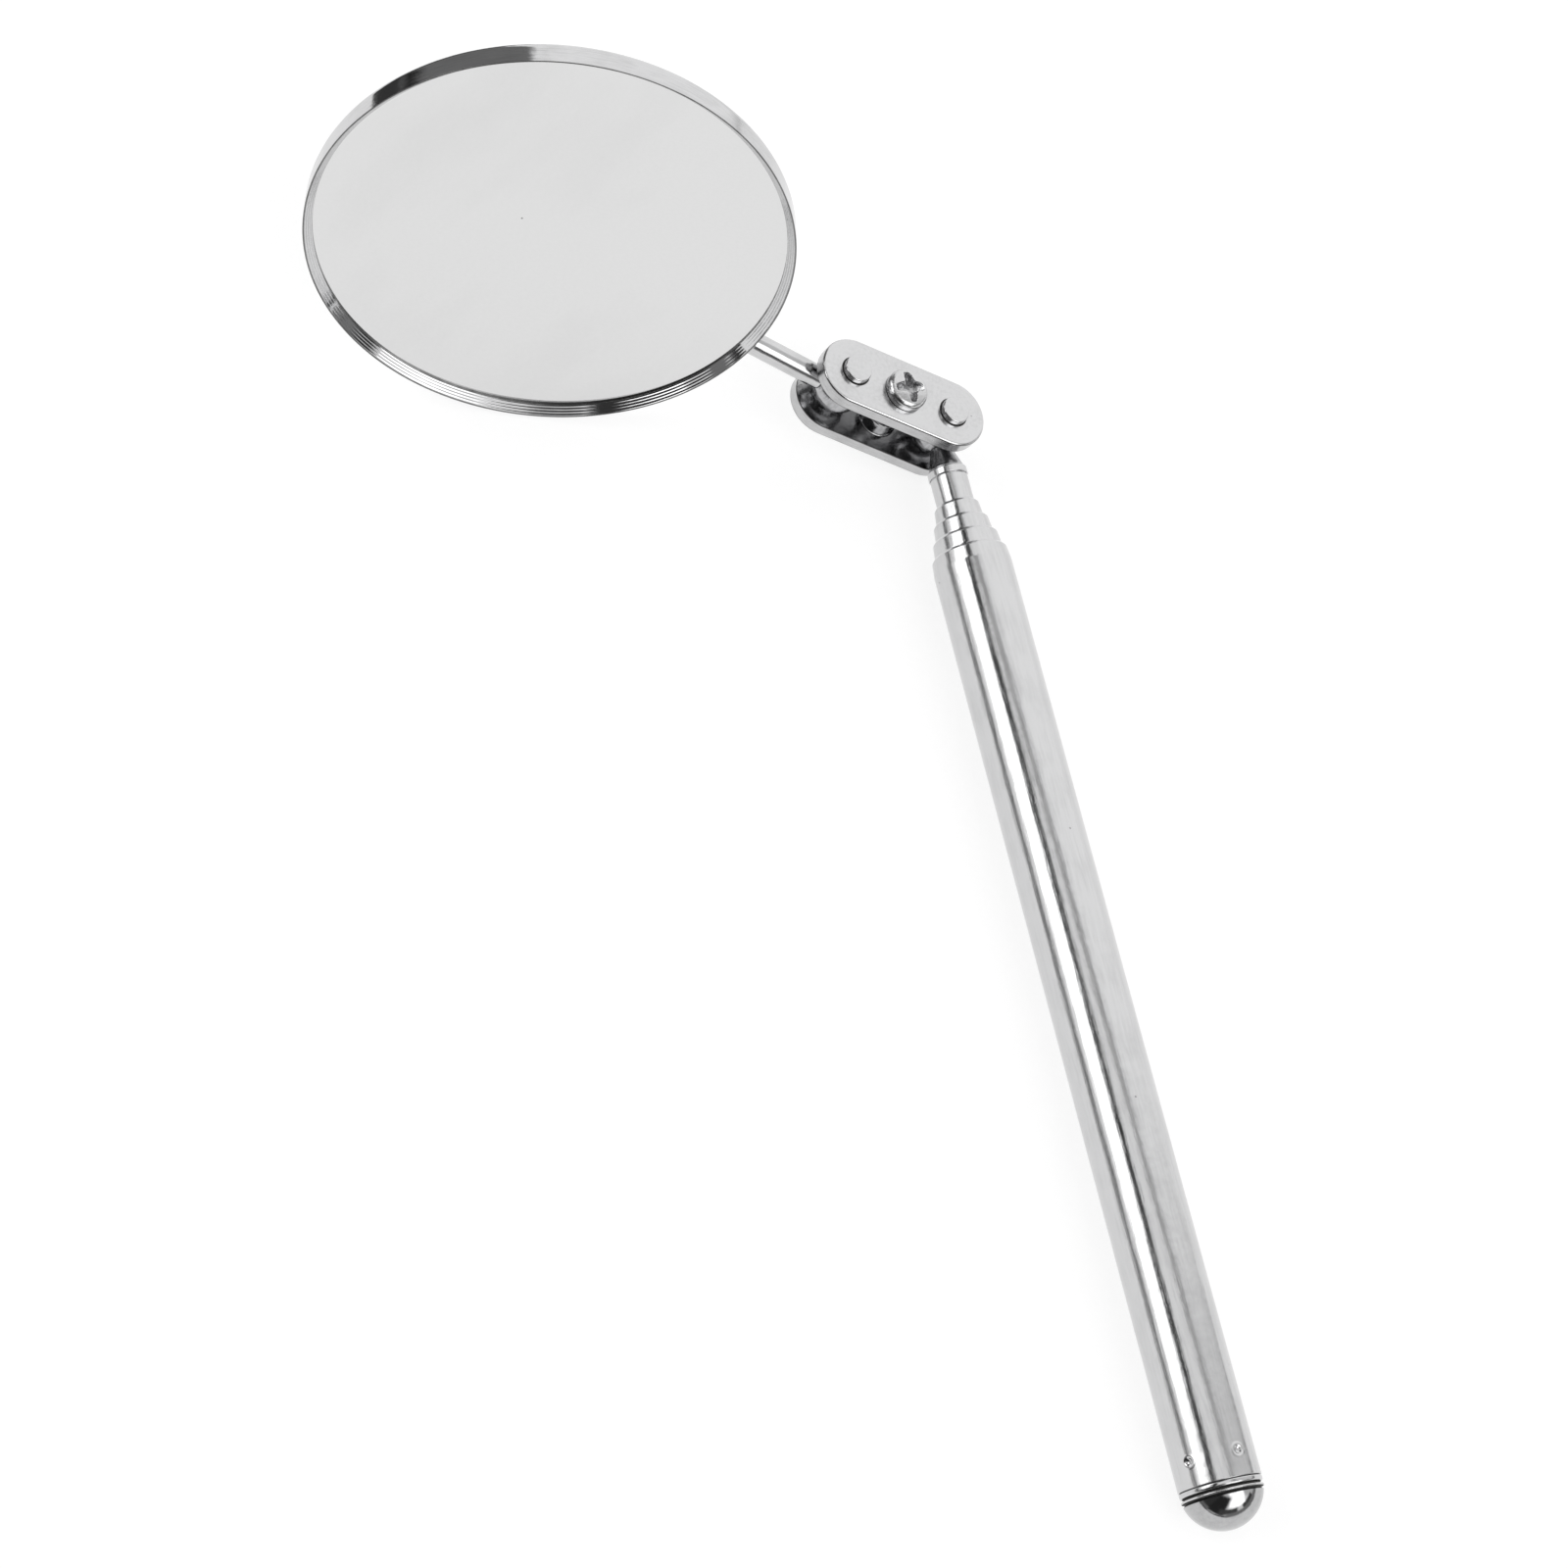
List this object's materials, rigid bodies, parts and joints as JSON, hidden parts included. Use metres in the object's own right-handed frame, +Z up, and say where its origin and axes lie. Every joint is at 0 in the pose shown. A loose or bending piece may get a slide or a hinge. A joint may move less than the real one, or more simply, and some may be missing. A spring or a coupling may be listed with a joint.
{
  "type": "telescopic inspection mirror",
  "caption": "Round steel-framed inspection mirror on a double ball joint at the end of a pocket-size telescopic chromed handle, closed and lying on a table.",
  "frame": {"origin": "on the table under the middle of the resting tool: the centre of the bounding box on its bottom face", "axes": "+X along the handle towards the tail cap (the handle dips 0.3 degrees towards the tail), +Z up from the table; the mirror head lies at -X and -Y"},
  "size_m": [0.1496, 0.0699, 0.0485],
  "materials": {
    "tube_chrome": "bright polished with fine lengthwise draw lines",
    "cap_chrome": "bright polished with faint turning rings",
    "bush_brass": "plain drawn brass",
    "spring_bronze": "rolled spring bronze",
    "ball_steel": "turned and nickel plated",
    "plate_chrome": "pressed and barrel polished",
    "screw_steel": "nickel plated, small burrs in the recess",
    "rod_chrome": "polished rod",
    "case_chrome": "pressed, bright polished",
    "pad_board": "grey-brown pressed board",
    "mirror_glass": "clear silvered glass"
  },
  "bodies": {
    "handle": {"outer_tube": "tube_chrome", "end_cap": "cap_chrome"},
    "section_2": {"tube_2": "tube_chrome", "slide_bush_2": "bush_brass", "friction_spring_2": "spring_bronze"},
    "section_3": {"tube_3": "tube_chrome", "slide_bush_3": "bush_brass", "friction_spring_3": "spring_bronze"},
    "section_4": {"tube_4": "tube_chrome", "slide_bush_4": "bush_brass", "friction_spring_4": "spring_bronze"},
    "neck": {"neck_tube": "tube_chrome", "slide_bush_5": "bush_brass", "friction_spring_5": "spring_bronze", "ball_stud": "ball_steel"},
    "lower_ball": {"lower_ball": "ball_steel"},
    "linkage": {"top_plate": "plate_chrome", "bottom_plate": "plate_chrome"},
    "clamp_screw": {"clamp_screw": "screw_steel"},
    "upper_ball": {"upper_ball": "ball_steel"},
    "mirror_head": {"mirror_rod": "rod_chrome", "mirror_case": "case_chrome", "backing_pad": "pad_board", "mirror_glass": "mirror_glass"}
  },
  "joints": [
    {"name": "section_2_slide", "type": "slide", "parent": "handle", "child": "section_2", "axis": [-1, 0, 0.0049], "range_m": [0, 0.077]},
    {"name": "section_3_slide", "type": "slide", "parent": "section_2", "child": "section_3", "axis": [-1, 0, 0.0049], "range_m": [0, 0.077]},
    {"name": "section_4_slide", "type": "slide", "parent": "section_3", "child": "section_4", "axis": [-1, 0, 0.0049], "range_m": [0, 0.077]},
    {"name": "neck_slide", "type": "slide", "parent": "section_4", "child": "neck", "axis": [-1, 0, 0.0049], "range_m": [0, 0.077]},
    {"name": "linkage_turn", "type": "hinge", "parent": "neck", "child": "lower_ball", "pos_m": [-0.04519, 0.03011, 0.00482], "axis": [1, 0, -0.0049], "continuous": true},
    {"name": "linkage_fold", "type": "hinge", "parent": "lower_ball", "child": "linkage", "pos_m": [-0.04519, 0.03011, 0.00482], "axis": [0.0047, 0.326, 0.9454], "range_deg": [-196.8, 63.2]},
    {"name": "clamp_screw_turn", "type": "hinge", "parent": "linkage", "child": "clamp_screw", "pos_m": [-0.04755, 0.02489, 0.00663], "axis": [0.0047, 0.326, 0.9454], "range_deg": [0, 360]},
    {"name": "mirror_swing", "type": "hinge", "parent": "linkage", "child": "upper_ball", "pos_m": [-0.0499, 0.01968, 0.00844], "axis": [-0.0047, -0.326, -0.9454], "range_deg": [-114.5, 115.5]},
    {"name": "mirror_turn", "type": "hinge", "parent": "upper_ball", "child": "mirror_head", "pos_m": [-0.0499, 0.01968, 0.00844], "axis": [-0.3804, -0.821, 0.4258], "continuous": true}
  ]
}
